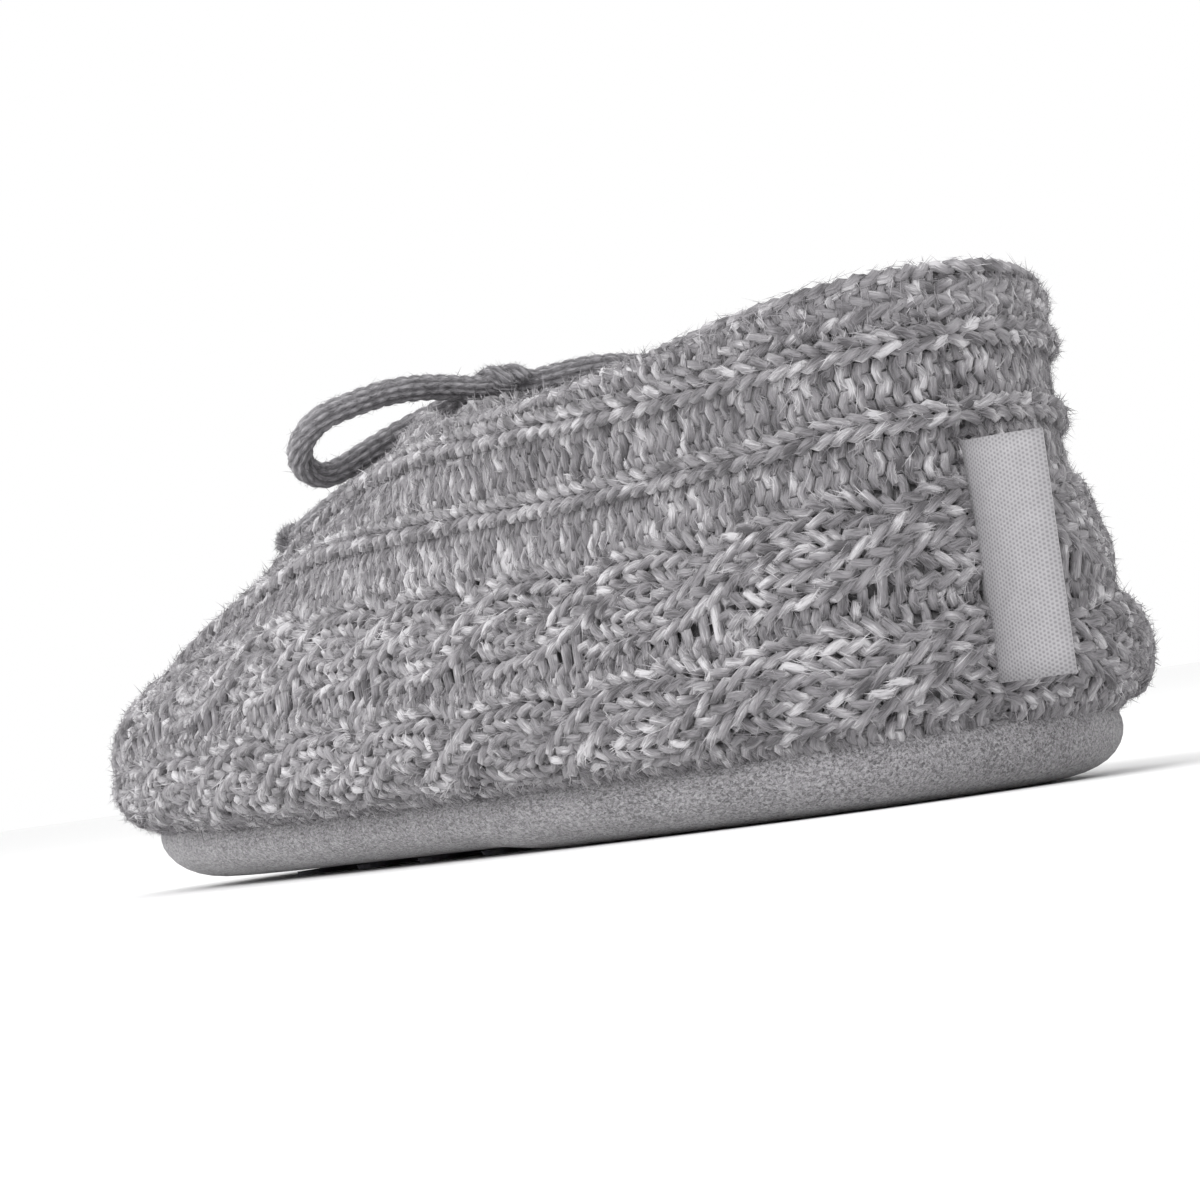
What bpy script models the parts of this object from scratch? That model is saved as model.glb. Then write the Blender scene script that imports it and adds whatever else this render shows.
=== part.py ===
"""Knitted slipper sock: a cable-knit upper sewn to a padded suede sole, with a heel tab and a cord bow.

The toe points along -Y, the heel along +Y and the wearer's left along +X. The floor is z = 0.
Stations run from the back of the heel to the toe. All tables and sizes are in millimetres.
"""

import math
from collections import namedtuple

import bmesh
import bpy
import numpy as np

MM = 0.001
SAME_PLACE = 0.002

# Driving dimensions of the slipper
LENGTH = 244.0
BALL_WIDTH = 105.0
HEEL_HEIGHT = 72.0
WALL = 3.0
GAP = 0.3

# The grip print sets the floor. The origin is midway between the ribs over the toe and the heel tab.
GRIP_THICK = 0.7
SOLE_LIFT = GRIP_THICK + GAP
TOE_RIBS = 1.0
TAB_REACH = 10.8
ORIGIN_STATION = (LENGTH + TOE_RIBS - TAB_REACH) / 2

# The upper as level rings from the sole seam to the collar. heel and toe are stations in percent of
# LENGTH, the halves are in percent of half BALL_WIDTH, and the heights in percent of HEEL_HEIGHT.
# square is the power of the plan oval: 2 is an ellipse, more is fuller at its corners.
Ring = namedtuple("Ring", "heel toe heel_half ball_half heel_z side_z toe_z square")
RINGS = (
    Ring(1.4, 96.8, 79.0, 87.0, 12.5, 11.8, 17.0, 2.80),
    Ring(0.4, 99.2, 92.5, 98.0, 18.8, 17.4, 23.5, 2.70),
    Ring(0.0, 100.0, 95.5, 100.0, 29.0, 27.0, 33.0, 2.60),
    Ring(0.2, 97.5, 87.0, 92.5, 44.5, 41.5, 45.0, 2.48),
    Ring(0.6, 89.0, 81.5, 83.0, 60.0, 55.5, 56.0, 2.32),
    Ring(0.9, 77.5, 79.0, 76.0, 76.0, 69.5, 69.0, 2.18),
    Ring(1.2, 64.5, 77.5, 72.5, 90.0, 81.0, 83.5, 2.10),
    Ring(1.4, 54.0, 76.5, 71.5, 100.0, 89.0, 95.0, 2.10),
)
RING_SCALE = np.array([LENGTH, LENGTH, BALL_WIDTH / 2, BALL_WIDTH / 2, *[HEEL_HEIGHT] * 3, 100.0]) / 100
RING_ROWS = np.array(RINGS) * RING_SCALE

# Cross lines of the knit swing about a spine of stations, from the heel's middle to the toe's crown
SPINE_HEEL = 42.0
SPINE_TOE = 224.0
SPINE_START = 0.10
CROWN_LEVEL = 0.3
COLLAR_COURSES = 28
VAMP_COURSES = 20
THROAT_CROWDING = 1.35
FINE_STEPS = 721
TURN_STEP = 0.004

# Bands of the knit from the sole seam up to the vamp's middle line, which halves the last one: how many
# stitch columns each has, how far it stands out of the wall, and how many steps draw its rounded back.
# Behind the throat the collar cuts them off, and at the toe the seam does.
Band = namedtuple("Band", "stitch columns rise steps")
BANDS = (
    Band("purl", 1, 0.0, 1),
    Band("cable", 4, 1.6, 5),
    Band("purl", 1, 0.0, 1),
    Band("cable", 4, 1.6, 5),
    Band("purl", 2, 0.0, 1),
    Band("knit", 1, 1.1, 3),
    Band("purl", 2, 0.0, 1),
    Band("knit", 1, 1.1, 3),
    Band("purl", 2, 0.0, 1),
    Band("knit", 1, 1.1, 3),
    Band("purl", 2, 0.0, 1),
    Band("knit", 6, 1.6, 6),
)
MIDDLE_COLUMN = sum(band.columns for band in BANDS) - BANDS[-1].columns / 2
HEEL_COLUMN_WIDTH = 3.6
TOE_CUT_COLUMNS = 8.0
TOE_CUT_SHARE = 0.72
SEAM_WIDTH = 6.0
SEAM_DEPTH = 1.6
SEAM_SHARES = (0.006, 0.014)
HEEL_COURSES = 4
RIM_RISE = 1.3
INNER_STEPS = 9

# The sole below its seam: each row is a loop, its inset from the seam line and its height in
# percent of the way from the tread up to the seam.
SoleLoop = namedtuple("SoleLoop", "inset height")
SOLE_LOOPS = (
    SoleLoop(0.6, 100.0),
    SoleLoop(-0.6, 74.0),
    SoleLoop(0.4, 42.0),
    SoleLoop(3.2, 17.0),
    SoleLoop(7.2, 4.0),
    SoleLoop(12.0, 0.0),
)
SOLE_STEPS = 36

# The tread's height along the sole: a flat heel on the floor, then a flat stretch that the grip
# print lifts, then the toe spring.
TREAD_STATIONS = (0.0, 80.0, 92.0, 202.0, 222.0, 240.0)
TREAD_HEIGHTS = (0.0, 0.0, SOLE_LIFT, SOLE_LIFT, 2.6, 6.0)

INSOLE_THICK = 2.5
INSOLE_INSET = 4.4

# Grip print: slanted bars in pairs and dots between the pairs
BAR_STATIONS = (99.0, 121.0, 143.0, 165.0, 187.0)
BAR_OFFSET = 15.5
BAR_LENGTH = 23.0
BAR_WIDTH = 5.0
BAR_SLANT = math.radians(28)
DOT_STATIONS = (110.0, 132.0, 154.0, 176.0)
DOT_LENGTH = 7.0
DOT_WIDTH = 6.0
GRIP_TAPER = 0.35
GRIP_ARC_STEPS = 6

# Heel tab: a ribbon folded in two, its ends in the heel seam
TAB_LOW = 15.0
TAB_HIGH = 49.0
TAB_LENGTH = 12.0
TAB_PLY = 0.5
TAB_LEAN = math.radians(24)
TAB_MOUTH = 1.6
TAB_ROOT = 0.45
TAB_BEND_STEPS = 6

# Bow: a cord with its loops and ends held in one knot on the throat
CORD = 4.2
KNOT_STATION = 140.0
KNOT_SIZE = (4.9, 4.3, 3.5)
KNOT_LIFT = 2.2
BowPoint = namedtuple("BowPoint", "out station lift")
BOW_LOOP = (
    BowPoint(6.0, 139.2, 5.9),
    BowPoint(13.2, 138.2, 7.8),
    BowPoint(20.8, 137.9, 10.2),
    BowPoint(28.0, 138.8, 12.9),
    BowPoint(31.9, 139.9, 14.8),
    BowPoint(34.0, 142.4, 14.9),
    BowPoint(33.5, 145.4, 12.3),
    BowPoint(30.7, 147.7, 8.4),
    BowPoint(26.6, 148.5, 5.5),
    BowPoint(19.4, 148.2, 4.9),
    BowPoint(12.6, 146.1, 5.0),
    BowPoint(6.6, 143.2, 5.1),
)
BOW_END = (
    BowPoint(3.2, 146.2, 5.0),
    BowPoint(5.6, 152.0, 4.6),
    BowPoint(8.8, 158.5, 4.2),
    BowPoint(12.4, 165.0, 4.1),
    BowPoint(15.6, 172.0, 4.1),
    BowPoint(17.4, 179.0, 4.1),
    BowPoint(17.8, 184.5, 4.1),
)
CORD_STEPS = 26

# Finishes: linear colour and roughness
SHARP_EDGE = math.radians(40)
FINISHES = {
    "marl_knit": ((0.27, 0.265, 0.275), 0.95),
    "suede": ((0.235, 0.23, 0.24), 0.9),
    "silicone": ((0.22, 0.22, 0.255), 0.45),
    "ribbon": ((0.42, 0.41, 0.415), 0.55),
    "cord": ((0.115, 0.113, 0.12), 0.9),
    "lining": ((0.30, 0.295, 0.30), 0.95),
}


# Shape of the upper

def rings_at(levels):
    """Ring rows at levels from 0, the sole seam, to 1, the collar, on a smooth curve through RINGS."""
    last = len(RING_ROWS) - 1
    place = np.clip(levels, 0.0, 1.0) * last
    row = np.minimum(place.astype(int), last - 1)
    t = (place - row)[..., None]
    b = RING_ROWS[row]
    c = RING_ROWS[row + 1]
    a = np.where((row > 0)[..., None], RING_ROWS[np.maximum(row - 1, 0)], 2 * b - c)
    d = np.where((row < last - 1)[..., None], RING_ROWS[np.minimum(row + 2, last)], 2 * c - b)
    return b + t / 2 * (c - a + t * (2 * a - 5 * b + 4 * c - d + t * (3 * (b - c) + d - a)))


def surface(turns, levels):
    """Points of the upper's outer surface. A turn is 0 at the heel, pi at the toe, negative on the right."""
    heel, toe, heel_half, ball_half, heel_z, side_z, toe_z, square = np.moveaxis(rings_at(levels), -1, 0)
    cosine = np.cos(turns)
    sine = np.sin(turns)
    along = -np.sign(cosine) * np.abs(cosine) ** (2 / square)
    station = (heel + toe) / 2 + (toe - heel) / 2 * along
    half = heel_half + (ball_half - heel_half) * (1 + along) / 2
    x = half * np.sign(sine) * np.abs(sine) ** (2 / square)
    toward_heel = np.clip(cosine, 0, 1) ** 2
    toward_toe = np.clip(-cosine, 0, 1) ** 2
    z = side_z + (heel_z - side_z) * toward_heel + (toe_z - side_z) * toward_toe
    return np.stack([x, ORIGIN_STATION - station, z], axis=-1)


def outward(turns, levels):
    """Unit normals of the upper's outer surface."""
    above = np.minimum(levels + TURN_STEP, 1)
    below = np.maximum(levels - TURN_STEP, 0)
    round_way = surface(turns + TURN_STEP, levels) - surface(turns - TURN_STEP, levels)
    up_way = surface(turns, above) - surface(turns, below)
    normal = np.cross(up_way, round_way)
    return normal / np.linalg.norm(normal, axis=-1, keepdims=True)


def run_along(points):
    """Distance of each point of a line from its first."""
    return np.concatenate([[0], np.cumsum(np.linalg.norm(np.diff(points, axis=0), axis=1))])


def seam_turns(shares):
    """Turns at shares of the left half of the sole seam, measured along it from heel to toe."""
    fine = np.linspace(0, math.pi, FINE_STEPS)
    run = run_along(surface(fine, 0 * fine))
    return np.interp(shares, run / run[-1], fine)


def spine_station(share):
    """Station on the middle plane that the knit's cross line at this share of the seam swings to."""
    reach = np.clip((share - SPINE_START) / (1 - SPINE_START), 0, 1)
    return SPINE_HEEL + (SPINE_TOE - SPINE_HEEL) * reach


def throat_share():
    """Share of the seam whose cross line meets the front of the collar."""
    throat = RING_ROWS[-1][1]
    return SPINE_START + (1 - SPINE_START) * (throat - SPINE_HEEL) / (SPINE_TOE - SPINE_HEEL)


def top_level(station):
    """Level where a cross line ends: the collar behind the throat, the vamp's middle line before it."""
    fine = np.linspace(CROWN_LEVEL, 1.0, FINE_STEPS)
    return float(np.interp(-station, -rings_at(fine)[:, 1], fine))


def cross_line(share, samples=60, halvings=40):
    """(turns, levels) of one line of the knit on the left, from the sole seam up to its top."""
    foot = surface(seam_turns(np.array([share])), np.zeros(1))[0]
    spine = np.array([0.0, ORIGIN_STATION - spine_station(share)])
    levels = np.linspace(0, top_level(spine_station(share)), samples)
    low = np.zeros(samples)
    high = np.full(samples, math.pi)
    way = foot[:2] - spine
    for _ in range(halvings):
        middle = (low + high) / 2
        arm = surface(middle, levels)[:, :2] - spine
        behind = way[0] * arm[:, 1] - way[1] * arm[:, 0] > 0
        low = np.where(behind, middle, low)
        high = np.where(behind, high, middle)
    return (low + high) / 2, levels


def line_length(share):
    """Length of the knit's cross line from the sole seam to its top."""
    return run_along(surface(*cross_line(share)))[-1]


def cut_columns(share):
    """How many stitch columns have run under the sole seam by this share of it."""
    reach = np.clip((share - TOE_CUT_SHARE) / (1 - TOE_CUT_SHARE), 0, 1)
    return TOE_CUT_COLUMNS * reach ** 2


def column_width(share):
    """Width of a stitch column: even steps before the throat, easing to the heel's width behind it."""
    throat = throat_share()
    if share >= throat:
        return line_length(share) / (MIDDLE_COLUMN - cut_columns(share))
    ease = (1 - math.cos(math.pi * share / throat)) / 2
    return HEEL_COLUMN_WIDTH + (column_width(throat) - HEEL_COLUMN_WIDTH) * ease


def net_line(share, run):
    """(turns, levels) at distances along a cross line from the sole seam, held within its ends."""
    turns, levels = cross_line(share)
    line_run = run_along(surface(turns, levels))
    return np.interp(run, line_run, turns), np.interp(run, line_run, levels)


def surface_height(x, station):
    """Height of the upper's outer surface over a plan point on the vamp."""
    levels = np.linspace(CROWN_LEVEL, 1.0, FINE_STEPS)
    heel, toe, heel_half, ball_half, _, _, _, square = rings_at(levels).T
    along = (station - (heel + toe) / 2) / ((toe - heel) / 2)
    half = heel_half + (ball_half - heel_half) * (1 + along) / 2
    top = np.flatnonzero(np.abs(along) ** square + np.abs(x / half) ** square <= 1)[-1]
    power = square[top] / 2
    turn = math.pi - math.atan2(abs(x / half[top]) ** power, max(along[top], 0) ** power)
    return float(surface(np.array([turn]), levels[top:top + 1])[0, 2])


# Solids

def finish(name):
    """The named material."""
    colour, roughness = FINISHES[name]
    material = bpy.data.materials.get(name) or bpy.data.materials.new(name)
    material.use_nodes = True
    shader = material.node_tree.nodes["Principled BSDF"]
    shader.inputs["Base Color"].default_value = (*colour, 1)
    shader.inputs["Roughness"].default_value = roughness
    return material


def link(name, data, material):
    """A new object in the scene with this data and finish."""
    node = bpy.data.objects.new(name, data)
    data.materials.append(finish(material))
    bpy.context.scene.collection.objects.link(node)
    return node


def solid(name, bm, material):
    """Closes a bmesh in millimetres into a named object, with its doubles merged and its faces outward."""
    bmesh.ops.remove_doubles(bm, verts=bm.verts, dist=SAME_PLACE)
    bmesh.ops.scale(bm, vec=(MM, MM, MM), verts=bm.verts)
    bmesh.ops.recalc_face_normals(bm, faces=bm.faces)
    mesh = bpy.data.meshes.new(name)
    bm.to_mesh(mesh)
    bm.free()
    mesh.shade_smooth()
    mesh.set_sharp_from_angle(angle=SHARP_EDGE)
    return link(name, mesh, material)


def add_points(bm, points):
    """Vertices for an array of points, as nested lists of the array's shape."""
    if points.ndim == 1:
        return bm.verts.new(points)
    return [add_points(bm, row) for row in points]


def add_strip(bm, one, other):
    """Faces between two lines of vertices, leaving out those that have shrunk to nothing."""
    for a, b, c, d in zip(one, one[1:], other[1:], other):
        corners = [a]
        for corner in (b, c, d):
            if all((corner.co - kept.co).length > SAME_PLACE for kept in corners):
                corners.append(corner)
        if len(corners) > 2:
            bm.faces.new(corners)


def add_grid(bm, grid):
    """Faces between the successive lines of a grid of vertices."""
    for one, other in zip(grid, grid[1:]):
        add_strip(bm, one, other)


def sided(points, side):
    """Points of the wearer's left, kept for side 1 and mirrored to the right for side -1."""
    return points * np.array([side, 1, 1])


def band_steps():
    """Columns at which the bands are drawn, from the sole seam to the vamp's middle line."""
    steps = [0.0]
    low = 0
    for band in BANDS:
        for step in range(1, band.steps + 1):
            across = step / band.steps
            if band.rise:
                across = (1 - math.cos(math.pi * across)) / 2
            steps.append(low + band.columns * across)
        low += band.columns
    return np.array([step for step in steps if step <= MIDDLE_COLUMN])


def band_rise(columns):
    """How far the knit stands out of the wall at each column."""
    rise = np.zeros_like(columns)
    low = 0
    for band in BANDS:
        across = 2 * (columns - low) / band.columns - 1
        rise += band.rise * np.sqrt(np.clip(1 - across ** 2, 0, 1))
        low += band.columns
    return rise


def make_upper():
    """The knitted wall: ribbed outside, plain inside, open at the collar and along the sole seam."""
    throat = throat_share()
    rear = throat * (1 - (1 - np.linspace(0, 1, COLLAR_COURSES + 1)) ** THROAT_CROWDING)
    rear = np.insert(rear, 1, SEAM_SHARES)
    front = np.linspace(throat, 1, VAMP_COURSES + 1)[1:]
    shares = np.concatenate([rear, front])
    open_rows = len(rear)

    steps = band_steps()
    outer = []
    inner = []
    for share in shares:
        length = line_length(share)
        width = column_width(share)
        cut = cut_columns(share)
        columns = np.clip(steps, cut, cut + length / width)
        net = net_line(share, (columns - cut) * width)
        outer.append(surface(*net) + outward(*net) * band_rise(columns)[:, None])
        net = net_line(share, np.linspace(0, length, INNER_STEPS))
        inner.append(surface(*net) - outward(*net) * WALL)
    outer = np.array(outer)
    inner = np.array(inner)
    from_seam = np.abs(outer[:, :, :1])
    groove = SEAM_DEPTH * np.clip(1 - from_seam / SEAM_WIDTH, 0, 1) ** 2
    outer[:HEEL_COURSES, :, 1:2] -= groove[:HEEL_COURSES]

    rim = (outer[:, -1] + inner[:, -1]) / 2
    rim[:, 2] += RIM_RISE
    for points in (outer, inner):
        points[[0, -1], :, 0] = 0
        points[open_rows - 1:, -1, 0] = 0
    rim[[0, open_rows - 1], 0] = 0

    bm = bmesh.new()
    for side in (1, -1):
        outer_net = add_points(bm, sided(outer, side))
        inner_net = add_points(bm, sided(inner, side))
        rim_line = add_points(bm, sided(rim[:open_rows], side))
        add_grid(bm, outer_net)
        add_grid(bm, inner_net)
        add_strip(bm, [row[0] for row in outer_net], [row[0] for row in inner_net])
        add_strip(bm, [row[-1] for row in outer_net[:open_rows]], rim_line)
        add_strip(bm, rim_line, [row[-1] for row in inner_net[:open_rows]])
    return solid("upper", bm, "marl_knit")


def seam_loop(inset):
    """The left half of the sole seam from heel to toe, moved in by inset on plan."""
    turns = seam_turns(np.linspace(0, 1, SOLE_STEPS + 1))
    level = np.zeros_like(turns)
    way = surface(turns + TURN_STEP, level) - surface(turns - TURN_STEP, level)
    inward = np.stack([way[:, 1], -way[:, 0], 0 * turns], axis=-1)
    inward /= np.linalg.norm(inward, axis=-1, keepdims=True)
    moved = surface(turns, level) + inset * inward
    moved[[0, -1], 0] = 0
    return moved


def tread_height(points):
    """Height of the tread under each point."""
    return np.interp(ORIGIN_STATION - points[:, 1], TREAD_STATIONS, TREAD_HEIGHTS)


def make_pillow(name, loops, material):
    """A closed solid from loops that run from its upper edge round to its lower one, flat over both."""
    bm = bmesh.new()
    for side in (1, -1):
        add_grid(bm, [add_points(bm, sided(loop, side)) for loop in loops])
    for loop in (loops[0], loops[-1]):
        add_strip(bm, add_points(bm, loop), add_points(bm, sided(loop, -1)))
    return solid(name, bm, material)


def make_sole():
    """The suede sole: a pillow that rounds up from its tread to the seam."""
    loops = []
    for row in SOLE_LOOPS:
        loop = seam_loop(row.inset)
        tread = tread_height(loop)
        loop[:, 2] = tread + (loop[:, 2] - GAP - tread) * row.height / 100
        loops.append(loop)
    return make_pillow("sole", loops, "suede")


def make_insole():
    """The padded insole that lies on the sole inside the wall."""
    low = seam_loop(INSOLE_INSET)
    high = low + np.array([0, 0, INSOLE_THICK])
    return make_pillow("insole", [high, low], "lining")


def pill_outline(length, width):
    """Outline of a bar with round ends, along X, about its middle."""
    points = []
    for end, start in ((1, -math.pi / 2), (-1, math.pi / 2)):
        for step in range(GRIP_ARC_STEPS + 1):
            angle = start + math.pi * step / GRIP_ARC_STEPS
            along = end * (length - width) / 2 + math.cos(angle) * width / 2
            points.append((along, math.sin(angle) * width / 2))
    return points


def make_grip(name, x, station, length, width, slant):
    """One raised piece of the grip print: a low bar with tapered sides that stands on the floor."""
    bm = bmesh.new()
    loops = []
    for taper, z in ((0.0, GRIP_THICK), (GRIP_TAPER, 0.0)):
        loop = []
        for along, across in pill_outline(length - 2 * taper, width - 2 * taper):
            loop.append(bm.verts.new((
                x + along * math.cos(slant) - across * math.sin(slant),
                ORIGIN_STATION - station + along * math.sin(slant) + across * math.cos(slant),
                z,
            )))
        bm.faces.new(loop)
        loops.append(loop)
    add_strip(bm, loops[0] + loops[0][:1], loops[1] + loops[1][:1])
    return solid(name, bm, "silicone")


def make_grips():
    """Five pairs of slanted bars and the dots between them."""
    for number, station in enumerate(BAR_STATIONS, 1):
        for name, side in (("left", 1), ("right", -1)):
            make_grip(f"grip_bar_{name}_{number}", side * BAR_OFFSET, station, BAR_LENGTH, BAR_WIDTH,
                      side * BAR_SLANT)
    for number, station in enumerate(DOT_STATIONS, 1):
        make_grip(f"grip_dot_{number}", 0.0, station, DOT_LENGTH, DOT_WIDTH, 0.0)


def tab_lines():
    """The folded ribbon from above: its outer face's line round the fold, then its inner face's."""
    lines = []
    for depth in (0.0, TAB_PLY):
        half = TAB_MOUTH / 2 + TAB_PLY - depth
        line = [(0.0, half)]
        for step in range(TAB_BEND_STEPS + 1):
            angle = math.pi / 2 - math.pi * step / TAB_BEND_STEPS
            line.append((TAB_LENGTH - TAB_MOUTH - TAB_PLY + math.cos(angle) * half, math.sin(angle) * half))
        line.append((0.0, -half))
        lines.append(line)
    return lines


def make_heel_tab():
    """The folded ribbon standing out of the heel seam, leaning to the wearer's right."""
    bm = bmesh.new()
    edges = []
    for z in (TAB_LOW, TAB_HIGH):
        for line in tab_lines():
            edge = []
            for out, across in line:
                lean = TAB_LEAN * out / TAB_LENGTH
                y = ORIGIN_STATION + TAB_ROOT + out * math.cos(lean)
                edge.append(bm.verts.new((across - out * math.sin(lean), y, z)))
            edges.append(edge)
    outer_low, inner_low, outer_high, inner_high = edges
    add_grid(bm, [outer_low, outer_high, inner_high, inner_low, outer_low])
    for end in (0, -1):
        bm.faces.new([edge[end] for edge in (outer_low, outer_high, inner_high, inner_low)])
    return solid("heel_tab", bm, "ribbon")


def bow_line(route, side):
    """The cord's middle line on one side, smooth through the route's points, in metres."""
    knots = np.array([
        (side * p.out, ORIGIN_STATION - p.station, surface_height(p.out, p.station) + p.lift) for p in route
    ])
    padded = np.vstack([2 * knots[0] - knots[1], knots, 2 * knots[-1] - knots[-2]])
    line = []
    for place in np.linspace(0, len(knots) - 1, CORD_STEPS):
        i = min(int(place), len(knots) - 2)
        t = place - i
        a, b, c, d = padded[i:i + 4]
        line.append(b + t / 2 * (c - a + t * (2 * a - 5 * b + 4 * c - d + t * (3 * (b - c) + d - a))))
    return np.array(line) * MM


def make_cord(name, line):
    """A round cord along a line of points."""
    curve = bpy.data.curves.new(name, "CURVE")
    curve.dimensions = "3D"
    curve.bevel_depth = CORD / 2 * MM
    curve.bevel_resolution = 2
    curve.use_fill_caps = True
    spline = curve.splines.new("POLY")
    spline.points.add(len(line) - 1)
    for point, place in zip(spline.points, line):
        point.co = (*place, 1)
    return link(name, curve, "cord")


def make_bow():
    """The knot on the throat, with a loop and an end on each side."""
    bm = bmesh.new()
    bmesh.ops.create_uvsphere(bm, u_segments=16, v_segments=10, radius=1.0)
    bmesh.ops.scale(bm, vec=KNOT_SIZE, verts=bm.verts)
    lift = surface_height(0.0, KNOT_STATION) + KNOT_SIZE[2] + KNOT_LIFT
    bmesh.ops.translate(bm, vec=(0, ORIGIN_STATION - KNOT_STATION, lift), verts=bm.verts)
    solid("bow_knot", bm, "cord")
    for name, side in (("left", 1), ("right", -1)):
        make_cord(f"bow_loop_{name}", bow_line(BOW_LOOP, side))
        make_cord(f"bow_end_{name}", bow_line(BOW_END, side))


def main():
    for old in list(bpy.data.objects):
        bpy.data.objects.remove(old)
    make_upper()
    make_sole()
    make_insole()
    make_grips()
    make_heel_tab()
    make_bow()


main()
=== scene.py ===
"""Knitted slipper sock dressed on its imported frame: suede sole, cable-knit upper, ribbon tab and cord bow.

Sizes are in millimetres unless a line says otherwise, and the frame is the part's own: the toe points along
-Y, the heel along +Y, the wearer's left along +X, and the floor is z = 0. A station is the distance from the
back of the heel towards the toe.
"""

import math
from collections import namedtuple

import bmesh
import bpy
import numpy as np
from mathutils import Matrix, Vector


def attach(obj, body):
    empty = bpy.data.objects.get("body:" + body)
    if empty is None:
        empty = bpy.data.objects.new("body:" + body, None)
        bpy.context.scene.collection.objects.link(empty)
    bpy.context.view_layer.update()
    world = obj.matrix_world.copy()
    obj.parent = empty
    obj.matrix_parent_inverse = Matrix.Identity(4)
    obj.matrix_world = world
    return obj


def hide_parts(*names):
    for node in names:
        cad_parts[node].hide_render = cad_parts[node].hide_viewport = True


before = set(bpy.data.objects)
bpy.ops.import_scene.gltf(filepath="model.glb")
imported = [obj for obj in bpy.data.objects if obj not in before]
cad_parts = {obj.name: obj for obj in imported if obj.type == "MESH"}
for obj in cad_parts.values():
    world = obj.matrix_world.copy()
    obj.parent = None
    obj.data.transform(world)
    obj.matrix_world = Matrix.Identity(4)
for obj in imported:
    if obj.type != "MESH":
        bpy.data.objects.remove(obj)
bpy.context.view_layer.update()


# Studio
# A pale floor under an even white sky, with one broad lamp above the heel and another before the toe. The
# camera stands behind the wearer's left as in the photograph, and as low as the floor lets it. Places and
# distances here are in metres.

CAMERA_TURN = math.radians(152.3)
CAMERA_ROLL = math.radians(-8.0)
CAMERA_DISTANCE = 1.1
CAMERA_HEIGHT = 0.016
CAMERA_LENS = 216.0
CAMERA_SENSOR = 36.0
CAMERA_NEAR = 0.05
AIM = Vector((0.0, 0.0, 0.036))
SKY_STRENGTH = 1.0
FLOOR_SIZE = 6.0
FLOOR_COLOUR = (0.95, 0.95, 0.95, 1)
FLOOR_ROUGHNESS = 0.7
Lamp = namedtuple("Lamp", "place size power")
KEY_LAMP = Lamp((0.75, 0.75, 0.95), 0.7, 7.2)
FILL_LAMP = Lamp((0.9, -0.7, 0.6), 0.9, 8.0)


def add_lamp(name, lamp):
    """A square soft lamp at a place in metres, turned to the slipper."""
    data = bpy.data.lights.new(name, "AREA")
    data.size = lamp.size
    data.energy = lamp.power
    made = bpy.data.objects.new(name, data)
    made.location = lamp.place
    made.rotation_euler = (AIM - Vector(lamp.place)).to_track_quat("-Z", "Y").to_euler()
    bpy.context.scene.collection.objects.link(made)


def start_material(name, roughness):
    """A new material with its node tree and main shader."""
    material = bpy.data.materials.new(name)
    material.use_nodes = True
    shader = material.node_tree.nodes["Principled BSDF"]
    shader.inputs["Roughness"].default_value = roughness
    return material, material.node_tree, shader


stand = Vector((math.sin(CAMERA_TURN), -math.cos(CAMERA_TURN), 0)) * CAMERA_DISTANCE
stand.z = CAMERA_HEIGHT
camera_back = (stand - AIM).normalized()
level_right = Vector((math.cos(CAMERA_TURN), math.sin(CAMERA_TURN), 0))
level_up = camera_back.cross(level_right)
camera_right = level_right * math.cos(CAMERA_ROLL) + level_up * math.sin(CAMERA_ROLL)
camera_up = camera_back.cross(camera_right)
camera_axes = Matrix((camera_right, camera_up, camera_back)).transposed()
camera_data = bpy.data.cameras.new("camera")
camera_data.lens = CAMERA_LENS
camera_data.sensor_width = CAMERA_SENSOR
camera_data.clip_start = CAMERA_NEAR
camera = bpy.data.objects.new("camera", camera_data)
camera.matrix_world = Matrix.Translation(stand) @ camera_axes.to_4x4()
bpy.context.scene.collection.objects.link(camera)
bpy.context.scene.camera = camera
bpy.context.scene.view_settings.view_transform = "Standard"

world = bpy.data.worlds.new("sky")
world.use_nodes = True
world.node_tree.nodes["Background"].inputs["Color"].default_value = (1, 1, 1, 1)
world.node_tree.nodes["Background"].inputs["Strength"].default_value = SKY_STRENGTH
bpy.context.scene.world = world
add_lamp("key_lamp", KEY_LAMP)
add_lamp("fill_lamp", FILL_LAMP)

bm = bmesh.new()
bmesh.ops.create_grid(bm, x_segments=1, y_segments=1, size=FLOOR_SIZE)
floor_mesh = bpy.data.meshes.new("floor")
bm.to_mesh(floor_mesh)
bm.free()
floor = bpy.data.objects.new("floor", floor_mesh)
floor_material, _, floor_shader = start_material("floor", FLOOR_ROUGHNESS)
floor_shader.inputs["Base Color"].default_value = FLOOR_COLOUR
floor_mesh.materials.append(floor_material)
bpy.context.scene.collection.objects.link(floor)


# Sole
# A padded sole of short-napped suede cloth over foam. Its edge rounds up to the seam where the knit is sewn
# on, and the seam's stitches pull small puckers into it.

MM = 0.001
LENGTH = 244.0
BALL_WIDTH = 105.0
HEEL_HEIGHT = 72.0
ORIGIN_STATION = 117.1
SOLE_LIFT = 1.0
GAP = 0.3

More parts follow.
